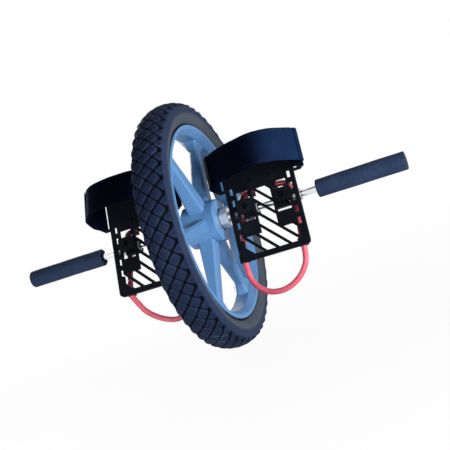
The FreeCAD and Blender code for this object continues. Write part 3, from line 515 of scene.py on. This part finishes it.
# Blocks, by the distance in from their edge: corner radius, the slope to the groove's floor, the fall of the
# dome over its reach, and the middle and width of the painted highlight along the edge.
BLOCK_CORNER, BLOCK_SLOPE = 2.6, (-0.8, 0.4)
DOME_DROP, DOME_REACH = 0.5, 4.5
EDGE_HIGHLIGHT_MIDDLE, EDGE_HIGHLIGHT_WIDTH = 0.9, 0.8
# Distances from the crown along the outside at which the tread starts to fade, is gone, and the base begins.
TREAD_EDGE, WALL_EDGE, BASE_EDGE = 23.5, 26.0, 58.0
# The sidewall lies this far below the section, with ribs of (height, radius, width).
WALL_DROP = 0.5
WALL_RIBS = ((0.45, 156.4, 0.9), (0.5, 143.2, 0.7))
# Between which distances from the crown the drop and the sidewall's colour set in, and between which radii the
# grey ring and the painted shade at the bead do.
DROP_ONSET, WALL_ONSET, RING_ONSET, BEAD_SHADE_ONSET = (25.0, 26.5), (22.5, 26.5), (153.4, 156.2), (140.4, 141.6)


def arc_between(start, end, radius, count):
    """Points of the arc of that radius from start to end, bulging to the left of the way, without its end."""
    start, end = np.array(start), np.array(end)
    chord = end - start
    length = np.hypot(*chord)
    rise = math.sqrt(radius ** 2 - (length / 2) ** 2)
    middle = (start + end) / 2 + np.array([chord[1], -chord[0]]) / length * rise
    first = math.atan2(*(start - middle)[::-1])
    last = math.atan2(*(end - middle)[::-1])
    last += FULL_TURN * round((first - last) / FULL_TURN)
    turn = np.linspace(first, last, count, endpoint=False)
    return middle + radius * np.stack([np.cos(turn), np.sin(turn)], axis=-1)


def tyre_section():
    """Closed section as (across, radius): crown arc, shoulder, sidewall, bead and base, then their mirror.

    Also gives each point's distance from the crown along the outside, and its outward normal.
    """
    half_crown = np.radians(np.linspace(0.0, CROWN_HALF_ANGLE, 27))
    crown = np.stack([CROWN_RADIUS * np.sin(half_crown),
                      CROWN_CENTRE + CROWN_RADIUS * np.cos(half_crown)], axis=-1)
    shoulder = arc_between(SHOULDER_TOP, WALL_TOP, SHOULDER_BEND, 6)
    wall = arc_between(WALL_TOP, BEAD_TOP, WALL_BEND, 12)
    half = np.concatenate([crown, shoulder[1:], wall, BEAD_AND_BASE])
    reach = run_length(half)
    section = np.concatenate([half, half[-2:0:-1] * (-1.0, 1.0)])
    side = np.concatenate([reach, -reach[-2:0:-1]])
    ahead = np.roll(section, -1, axis=0) - np.roll(section, 1, axis=0)
    normal = np.stack([-ahead[:, 1], ahead[:, 0]], axis=-1) / np.hypot(*ahead.T)[:, None]
    return section, side, normal


def tread_cut(side, along):
    """Depth of the tread below its envelope.

    Two sets of grooves at 45 degrees cross the tread, side + along and side - along being multiples of the
    pitch, and widen towards the shoulders. The distance to the nearest groove of each set gives a block with
    rounded corners, as the distance inside a rounded box does; the depth rises smoothly from its edge to the
    groove's floor, the block's top is a low dome, and all of it fades out over the shoulder. Also gives a mask
    of the grooves and one of the blocks' edges.
    """
    reach = np.abs(side)
    flare = GROOVE_FLARE * smooth_step(FLARE_START, TREAD_EDGE, reach)

    def to_groove(value, width):
        share = value / TREAD_PITCH
        return np.abs(share - np.round(share)) * TREAD_PITCH / math.sqrt(2.0) - (width + flare) / 2

    first = to_groove(along + side, GROOVE_WIDTHS[0])
    second = to_groove(along - side, GROOVE_WIDTHS[1])
    rounded = BLOCK_CORNER - np.hypot(np.maximum(BLOCK_CORNER - first, 0.0),
                                      np.maximum(BLOCK_CORNER - second, 0.0))
    in_corner = (first < BLOCK_CORNER) & (second < BLOCK_CORNER)
    inside = np.where(in_corner, rounded, np.minimum(first, second))
    fade = 1.0 - smooth_step(TREAD_EDGE, WALL_EDGE, reach)
    groove = (1.0 - smooth_step(*BLOCK_SLOPE, inside)) * fade
    dome = DOME_DROP * (1.0 - smooth_step(0.0, DOME_REACH, inside)) * fade
    edge = bell(inside, EDGE_HIGHLIGHT_MIDDLE, EDGE_HIGHLIGHT_WIDTH) * (1.0 - groove) * fade
    return groove * GROOVE_DEPTH + (1.0 - groove) * dome, groove, edge


def lay_tyre():
    """The section carried round the axle, y being radius * cos and z radius * sin of the turn.

    The tread is cut into its crown along the section's normals, and the sidewall is set in the same way, less
    its two ribs, which are bell curves of the radius. The mesh carries masks of the grooves, of the blocks'
    edges for their painted highlight, and of the sidewall, its grey ring and the painted shade at its bead.
    """
    section, side, normal = tyre_section()
    turn = np.linspace(0.0, FULL_TURN, TREAD_REPEATS * STEPS_IN_REPEAT, endpoint=False)
    cut, groove, edge = tread_cut(side[None, :], turn[:, None] * TYRE_RADIUS)
    reach, wall_radius = np.abs(side), section[:, 1]
    ribs = sum(height * bell(wall_radius, place, width) for height, place, width in WALL_RIBS)
    onto_wall = WALL_DROP * smooth_step(*DROP_ONSET, reach)
    cut = cut + np.where(reach > WALL_EDGE, WALL_DROP - ribs, onto_wall)[None, :]
    cut = np.where((reach > BASE_EDGE)[None, :], 0.0, cut)
    across = section[None, :, 0] - cut * normal[None, :, 0]
    radius = section[None, :, 1] - cut * normal[None, :, 1]
    points = np.stack([across, radius * np.cos(turn)[:, None], radius * np.sin(turn)[:, None]], axis=-1)
    masks = {
        "groove": groove,
        "edge": edge,
        "wall": smooth_step(*WALL_ONSET, reach),
        "ring": 1.0 - smooth_step(*RING_ONSET, wall_radius),
        "bead_shade": 1.0 - smooth_step(*BEAD_SHADE_ONSET, wall_radius),
    }
    values = {key: np.broadcast_to(mask, cut.shape) for key, mask in masks.items()}
    dress(grid_piece("treaded_tyre", points, along=True, values=values), "tyre_rubber", "wheel", "tyre")


# ------------------------------------------------------------------------------------------------------------
# Mouldings with eased edges
# ------------------------------------------------------------------------------------------------------------

WHEEL_EASING, PLATE_EASING = 1.1, 0.5


def ease_edges(node, name, slot, body, width):
    """A merged copy of a CAD moulding whose sharp edges get a small rounded bevel."""
    source = frame["nodes"][node].data
    places = np.empty(len(source.vertices) * 3)
    source.vertices.foreach_get("co", places)
    corners = np.empty(len(source.loops), int)
    source.loops.foreach_get("vertex_index", corners)
    merged, index = np.unique(np.round(places.reshape(-1, 3), 6), axis=0, return_inverse=True)
    triangles = index.ravel()[corners].reshape(-1, 3)
    whole = (triangles != np.roll(triangles, 1, axis=1)).all(axis=1)
    mesh = bpy.data.meshes.new(name)
    mesh.from_pydata(merged.tolist(), [], triangles[whole].tolist())
    work = bmesh.new()
    work.from_mesh(mesh)
    bmesh.ops.dissolve_limit(work, angle_limit=math.radians(0.6), verts=work.verts, edges=work.edges)
    work.to_mesh(mesh)
    work.free()
    mesh.polygons.foreach_set("use_smooth", np.ones(len(mesh.polygons), bool))
    piece = place_in_scene(name, mesh)
    bevel = piece.modifiers.new("eased_edges", "BEVEL")
    bevel.width = width * MM
    bevel.segments = 2
    bevel.limit_method = "ANGLE"
    bevel.angle_limit = math.radians(28.0)
    bevel.harden_normals = True
    dress(piece, slot, body, node)


# ------------------------------------------------------------------------------------------------------------
# Grips
# ------------------------------------------------------------------------------------------------------------

GRIP_START, GRIP_END, GRIP_RADIUS, GRIP_BORE = 165.5, 286.5, 12.5, 8.55
GRIP_ROUNDING, GRIP_BORE_LEAD = 1.1, 4.0
# The foam's height for each of its three waves, and how far the three are set below the radius.
GRIP_WAVE, GRIP_WAVE_DROP = 0.07, 0.21


def wrap_grip(side, seed):
    """Foam tube: a section of (along, radius) with rounded ends turned about the axle.

    The radius sinks by up to 0.42 mm along it, a sum of three slow sine waves.
    """
    quarter = np.linspace(0.0, math.pi / 2, 7)
    first, last = GRIP_START + GRIP_ROUNDING, GRIP_END - GRIP_ROUNDING
    flank = GRIP_RADIUS - GRIP_ROUNDING
    near = np.stack([first - GRIP_ROUNDING * np.cos(quarter), flank + GRIP_ROUNDING * np.sin(quarter)], axis=-1)
    far = np.stack([last + GRIP_ROUNDING * np.sin(quarter), flank + GRIP_ROUNDING * np.cos(quarter)], axis=-1)
    run = np.linspace(first, last, 42)[1:-1]
    body = np.stack([run, np.full_like(run, GRIP_RADIUS)], axis=-1)
    bore_run = (GRIP_END, GRIP_END - GRIP_BORE_LEAD, GRIP_START + GRIP_BORE_LEAD, GRIP_START)
    bore = np.array([(place, GRIP_BORE) for place in bore_run])
    section = np.concatenate([near, body, far, bore])
    phases = np.random.default_rng(seed).uniform(0.0, FULL_TURN, 6)
    turn = np.linspace(0.0, FULL_TURN, 72, endpoint=False)[:, None]
    along, radius = section[None, :, 0], section[None, :, 1]
    waves = (np.sin(along / 9.0 + phases[0] + 2.0 * np.sin(turn + phases[1]))
             + np.sin(along / 21.0 + phases[2] + np.cos(2.0 * turn + phases[3]))
             + np.sin(3.0 * turn + phases[4] + along / 30.0))
    outside = smooth_step(GRIP_BORE, GRIP_RADIUS, radius)
    radius = radius + outside * (GRIP_WAVE * waves - GRIP_WAVE_DROP)
    across = np.broadcast_to(OUTWARD[side] * along, radius.shape)
    points = np.stack([across, radius * np.cos(turn), radius * np.sin(turn)], axis=-1)
    dress(grid_piece(f"{side}_foam_grip", points, along=True), "grip_foam", "axle", f"{side}_grip_foam")


# ------------------------------------------------------------------------------------------------------------
# Toe straps
# ------------------------------------------------------------------------------------------------------------

STRAP_LOW, STRAP_WIDTH, STRAP_THICKNESS = 34.5, 46.0, 2.4
# Where the strap's middle line passes the plate: its front, below an ear, in the slot and outside the ear.
PLATE_FRONT, UNDER_EAR, IN_SLOT, OUTSIDE_EAR = 12.0, 5.4, 56.4, 64.1
# Control points of the arch from the outer ear to the inner one, as shares of half the span and of the rise.
HALF_SPAN = 59.9
STRAP_RISE = {"right": 54.8, "left": 70.8}
ARCH = {
    "right": [(0.83, 0.09), (1.10, 0.20), (1.16, 0.36), (0.97, 0.68), (0.73, 0.95), (0.46, 1.09),
              (0.15, 1.08), (-0.20, 0.96), (-0.50, 0.81), (-0.77, 0.62), (-1.01, 0.38), (-1.05, 0.16)],
    "left": [(1.08, 0.10), (1.04, 0.38), (0.94, 0.70), (0.68, 0.91), (0.34, 1.01), (-0.25, 1.01),
             (-0.56, 0.94), (-0.86, 0.72), (-1.0, 0.42), (-1.03, 0.14)],
}
# The laps lie this far outside the arch, from and to these distances along it from its own end.
LAP = 2.75
FREE_LAP_START = {"right": 17.0, "left": 12.0}
FREE_LAP_END = {"right": 32.5, "left": 52.0}
SEWN_LAP_START, SEWN_LAP_END = 12.0, 30.0
# The free lap's last run thins to a share of the strap's thickness and sinks onto the arch.
THIN_RUN, THIN_SHARE, THIN_DROP = 8.0, 0.35, 0.8
# How much painted light a strap gets at most, and where across the plate the painted light starts and is full.
STRAP_PAINTED_LIGHT = {"right": 1.0, "left": 0.2}
PAINTED_LIGHT_START, PAINTED_LIGHT_FULL = 6.0, 50.0
# The share of its height by which the arch rises towards the heel, and how far the edges ripple.
STRAP_TAPER = {"right": 0.02, "left": 0.08}
STRAP_RIPPLE = 0.25


def corner_cut(points, rounds=4):
    """Smooth curve by corner cutting: each run keeps its quarter points, so the limit is a quadratic spline."""
    points = np.asarray(points, float)
    for _ in range(rounds):
        near = 0.75 * points[:-1] + 0.25 * points[1:]
        far = 0.25 * points[:-1] + 0.75 * points[1:]
        inner = np.stack([near, far], axis=1).reshape(-1, points.shape[1])
        points = np.concatenate([points[:1], inner, points[-1:]])
    return points


def tight(points, reach=2.4):
    """Adds a point on each side of the inner corners, so that the smooth curve turns tightly there."""
    points = np.asarray(points, float)
    corners = points[1:-1]
    back, on = points[:-2] - corners, points[2:] - corners
    before = corners + back * (reach / np.linalg.norm(back, axis=1))[:, None]
    after = corners + on * (reach / np.linalg.norm(on, axis=1))[:, None]
    inner = np.stack([before, corners, after], axis=1).reshape(-1, points.shape[1])
    return np.concatenate([points[:1], inner, points[-1:]])


def even_out(points, spacing=0.8, passes=4):
    """Points an even way apart along a line, each then drawn to the middle of its neighbours, pass by pass."""
    length = run_length(points)
    places = np.linspace(0.0, length[-1], round(length[-1] / spacing) + 1)
    line = np.stack([np.interp(places, length, column) for column in points.T], axis=-1)
    for _ in range(passes):
        line[1:-1] = 0.25 * line[:-2] + 0.5 * line[1:-1] + 0.25 * line[2:]
    return line


def strap_line(side):
    """Middle line of a strap as (across, foot): free lap, outer ear, arch over the foot, inner ear, sewn lap.

    The laps are runs of the arch moved out along its normal by a strap's thickness and a little more. The free
    lap's end lies closer, since it thins out there. The joined line is then evened out.
    """
    arch = [(share * HALF_SPAN, PLATE_FRONT + up * STRAP_RISE[side]) for share, up in ARCH[side]]
    curve = corner_cut([(IN_SLOT, PLATE_FRONT + 2.0), *arch, (-IN_SLOT, PLATE_FRONT + 2.0)])
    normal = line_normals(curve)
    length = run_length(curve)
    to_end = length[-1] - length
    lapped = curve + LAP * normal
    sink = THIN_DROP * (1.0 - smooth_step(0.0, THIN_RUN, FREE_LAP_END[side] - length))
    thinned = lapped - sink[:, None] * normal
    free = thinned[(length > FREE_LAP_START[side]) & (length < FREE_LAP_END[side])][::-1]
    sewn = lapped[(to_end > SEWN_LAP_START) & (to_end < SEWN_LAP_END)][::-1]
    ear = tight([(OUTSIDE_EAR, PLATE_FRONT + 3.0), (OUTSIDE_EAR, UNDER_EAR), (IN_SLOT, UNDER_EAR),
                 (IN_SLOT, PLATE_FRONT + 1.0)])
    outer = corner_cut(np.concatenate([[free[-1]], ear, [curve[0]]]))
    inner = outer[::-1] * (-1.0, 1.0)
    return even_out(np.concatenate([free[:-1], outer, curve[1:-1], inner, sewn[1:]]))


def sew_strap(side):
    """A webbing section, flat with round selvedges, carried along the strap's line.

    Each point is the line's point plus its normal times the section's height, which thins towards the free end.
    The arch rises towards the heel by the taper, in step with the distance from the strap's middle, and the
    whole width shifts by a slight ripple along the strap. The mesh carries a mask of painted light, which grows
    outwards across the plate on the free lap and on the strap's outer face, and a UV map in centimetres.
    """
    line = strap_line(side)
    length = run_length(line)
    normal = line_normals(line)
    half, round_edge = STRAP_WIDTH / 2, STRAP_THICKNESS / 2
    flat_half = half - round_edge
    flat = np.linspace(-flat_half, flat_half, 15)
    bend = np.linspace(-math.pi / 2, math.pi / 2, 7)[1:-1]
    edge = np.stack([flat_half + round_edge * np.cos(bend), round_edge * np.sin(bend)], axis=-1)
    top = np.stack([flat, np.full_like(flat, round_edge)], axis=-1)
    section = np.concatenate([top, edge[::-1], top[::-1] * (1.0, -1.0), edge * (-1.0, 1.0)])
    width = section[None, :, 0]
    thinning = THIN_SHARE + (1.0 - THIN_SHARE) * smooth_step(0.0, THIN_RUN, length)
    height = section[None, :, 1] * thinning[:, None]
    ripple = STRAP_RIPPLE * np.sin(length / 7.0) * np.sin(length / 23.0 + 1.0)
    toes = STRAP_LOW + half + width + ripple[:, None]
    across = line[:, 0, None] + normal[:, 0, None] * height
    foot = line[:, 1, None] + normal[:, 1, None] * height
    on_lap = length[:, None] < FREE_LAP_END[side] - FREE_LAP_START[side]
    # Painted light, growing outwards across the plate on the free lap and the outer face.
    outer_face = np.where(on_lap, 1.0, smooth_step(-round_edge, round_edge, height))
    painted_light = STRAP_PAINTED_LIGHT[side] * smooth_step(PAINTED_LIGHT_START, PAINTED_LIGHT_FULL, across) * outer_face
    above = np.maximum(foot - PLATE_FRONT, 0.0)
    foot = foot - above * STRAP_TAPER[side] * width / half
    points = plate_to_row(side, np.stack([across, toes, foot], axis=-1))
    round_section = run_length(np.concatenate([section, section[:1]])) - flat_half
    uv = np.stack(np.broadcast_arrays(length[:, None] / 10.0, round_section[None, :] / 10.0), axis=-1)
    piece = grid_piece(f"{side}_webbing_strap", points, caps=True, uv=uv, values={"painted_light": painted_light})
    dress(piece, "strap_webbing", f"{side}_pedal", f"{side}_toe_strap")


# ------------------------------------------------------------------------------------------------------------
# Heel tubes
# ------------------------------------------------------------------------------------------------------------

TUBE_RADIUS = 4.0
# Control points of each loop in its plate's frame, from the outer eyelet to the inner one.
LOOP_ROUTE = {
    "right": [(37.0, -69.0, 1.5), (37.0, -84.15, 1.5), (29.02, -100.8, 1.5), (12.64, -114.45, 1.5),
              (-7.52, -119.5, 1.5), (-26.84, -114.96, 1.5), (-41.12, -101.8, 1.5), (-47.0, -85.16, 1.5),
              (-47.0, -69.0, 1.5)],
    "left": [(37.0, -69.0, 1.5), (31.2, -79.6, -1.4), (22.2, -95.4, -6.2), (3.0, -109.2, -9.6),
             (-19.4, -117.2, -10.8), (-38.6, -112.4, -9.8), (-51.0, -98.2, -6.4), (-52.4, -79.4, -1.9),
             (-47.0, -69.0, 1.5)],
}


def hang_heel_tube(side):
    """The free loop of a heel tube: a round section along a quadratic spline from eyelet to eyelet.

    The spline starts and ends on its route's end points, and the points between draw it to them.
    """
    route = plate_to_row(side, LOOP_ROUTE[side]) * MM
    curve = bpy.data.curves.new(f"{side}_heel_tube", "CURVE")
    curve.dimensions = "3D"
    spline = curve.splines.new("NURBS")
    spline.points.add(len(route) - 1)
    spline.points.foreach_set("co", np.concatenate([route, np.ones((len(route), 1))], axis=1).ravel())
    spline.order_u = 3
    spline.use_endpoint_u = True
    spline.resolution_u = 10
    curve.bevel_depth = TUBE_RADIUS * MM
    curve.bevel_resolution = 5
    curve.use_fill_caps = True
    piece = place_in_scene(f"{side}_heel_tube", curve)
    dress(piece, "tube_rubber", f"{side}_pedal", f"{side}_heel_tube_loop")


lay_tyre()
ease_edges("mag_wheel", "spoked_wheel", "wheel_plastic", "wheel", WHEEL_EASING)
for side, seed in (("right", 11), ("left", 12)):
    ease_edges(f"{side}_foot_plate", f"{side}_slotted_plate", "black_plastic", f"{side}_pedal", PLATE_EASING)
    wrap_grip(side, seed)
    sew_strap(side)
    hang_heel_tube(side)


# ------------------------------------------------------------------------------------------------------------
# Floor, light and camera
# ------------------------------------------------------------------------------------------------------------

FLOOR_LEVEL, FLOOR_REACH = -175.4, 6.0
# Share of plain white that the floor shows below the wheel, and how it grows further out.
WHITE_BELOW, WHITE_MORE, WHITE_START, WHITE_RATE = 0.94, 0.06, 0.25, 1.2


def shows_background(tree):
    """1 on rays that show the background: from the camera, in a reflection or through glass."""
    path = tree.nodes.new("ShaderNodeLightPath")
    past = math_node(tree, "MAXIMUM", path.outputs["Is Glossy Ray"], path.outputs["Is Transmission Ray"])
    return math_node(tree, "MAXIMUM", path.outputs["Is Camera Ray"], past)


def lay_floor():
    """A round pale floor under the tyre: rings of points about the foot of the wheel."""
    ring = np.concatenate([[0.001], np.geomspace(0.05, FLOOR_REACH, 24)])[:, None] / MM
    turn = np.linspace(0.0, FULL_TURN, 72, endpoint=False)
    level = np.full((len(ring), len(turn)), FLOOR_LEVEL)
    floor = grid_piece("floor", np.stack([ring * np.cos(turn), ring * np.sin(turn), level], axis=-1))
    finish = Finish("pale_floor", 0.9, 0.1)
    tree = finish.tree
    finish.colour(mix_colour(tree, noise(tree, finish.place, 3.0), *FLOOR_TONES))
    far = tree.nodes.new("ShaderNodeVectorMath")
    far.operation = "LENGTH"
    tree.links.new(finish.place, far.inputs[0])
    beyond = math_node(tree, "SUBTRACT", far.outputs["Value"], WHITE_START)
    outwards = math_node(tree, "MULTIPLY", beyond, WHITE_RATE, clamp=True)
    white = math_node(tree, "ADD", math_node(tree, "MULTIPLY", outwards, WHITE_MORE), WHITE_BELOW, clamp=True)
    lamp = tree.nodes.new("ShaderNodeEmission")
    blend = tree.nodes.new("ShaderNodeMixShader")
    tree.links.new(math_node(tree, "MULTIPLY", white, shows_background(tree)), blend.inputs["Fac"])
    tree.links.new(finish.shader.outputs[0], blend.inputs[1])
    tree.links.new(lamp.outputs[0], blend.inputs[2])
    tree.links.new(blend.outputs[0], tree.nodes["Material Output"].inputs["Surface"])
    floor.data.materials.append(finish.material)


def light_world(fill):
    """White to the camera and to reflections, and a soft fill of the given strength to everything else."""
    world = bpy.data.worlds.new("studio")
    bpy.context.scene.world = world
    world.use_nodes = True
    tree = world.node_tree
    soft = tree.nodes["Background"]
    soft.inputs["Color"].default_value = (0.94, 0.97, 1.0, 1.0)
    soft.inputs["Strength"].default_value = fill
    white = tree.nodes.new("ShaderNodeBackground")
    white.inputs["Color"].default_value = (1.0, 1.0, 1.0, 1.0)
    blend = tree.nodes.new("ShaderNodeMixShader")
    tree.links.new(shows_background(tree), blend.inputs["Fac"])
    tree.links.new(soft.outputs[0], blend.inputs[1])
    tree.links.new(white.outputs[0], blend.inputs[2])
    tree.links.new(blend.outputs[0], tree.nodes["World Output"].inputs["Surface"])


def hang_lamp(name, place, size, power):
    """A square soft box turned towards the wheel's middle."""
    lamp = bpy.data.lights.new(name, "AREA")
    lamp.size = size
    lamp.energy = power
    holder = place_in_scene(name, lamp)
    holder.location = place
    holder.rotation_euler = (-Vector(place)).to_track_quat("-Z", "Y").to_euler()


def set_camera():
    """The photograph's view: place, three axes and lens from a fit of the wheel, rod and plates."""
    camera = bpy.data.cameras.new("view")
    camera.lens = 67.77
    camera.sensor_width = 36.0
    axes = ((0.9033, 0.2865, -0.3192), (0.2873, 0.1484, 0.9463), (0.3185, -0.9465, 0.0517))
    stand = Matrix(axes).transposed().to_4x4()
    stand.translation = (0.3987, -1.1061, 0.0515)
    holder = place_in_scene("view", camera)
    holder.matrix_world = stand
    bpy.context.scene.camera = holder


lay_floor()
light_world(fill=0.12)
hang_lamp("key_box", (1.58, -0.76, 0.05), size=0.45, power=33.0)
hang_lamp("low_box", (0.50, -0.72, -0.14), size=0.16, power=5.4)
hang_lamp("fill_box", (-0.28, -0.40, -0.14), size=0.06, power=0.9)
hang_lamp("back_box", (-1.1, 1.35, 0.30), size=0.9, power=34.0)
set_camera()
bpy.context.scene.view_settings.view_transform = "Standard"
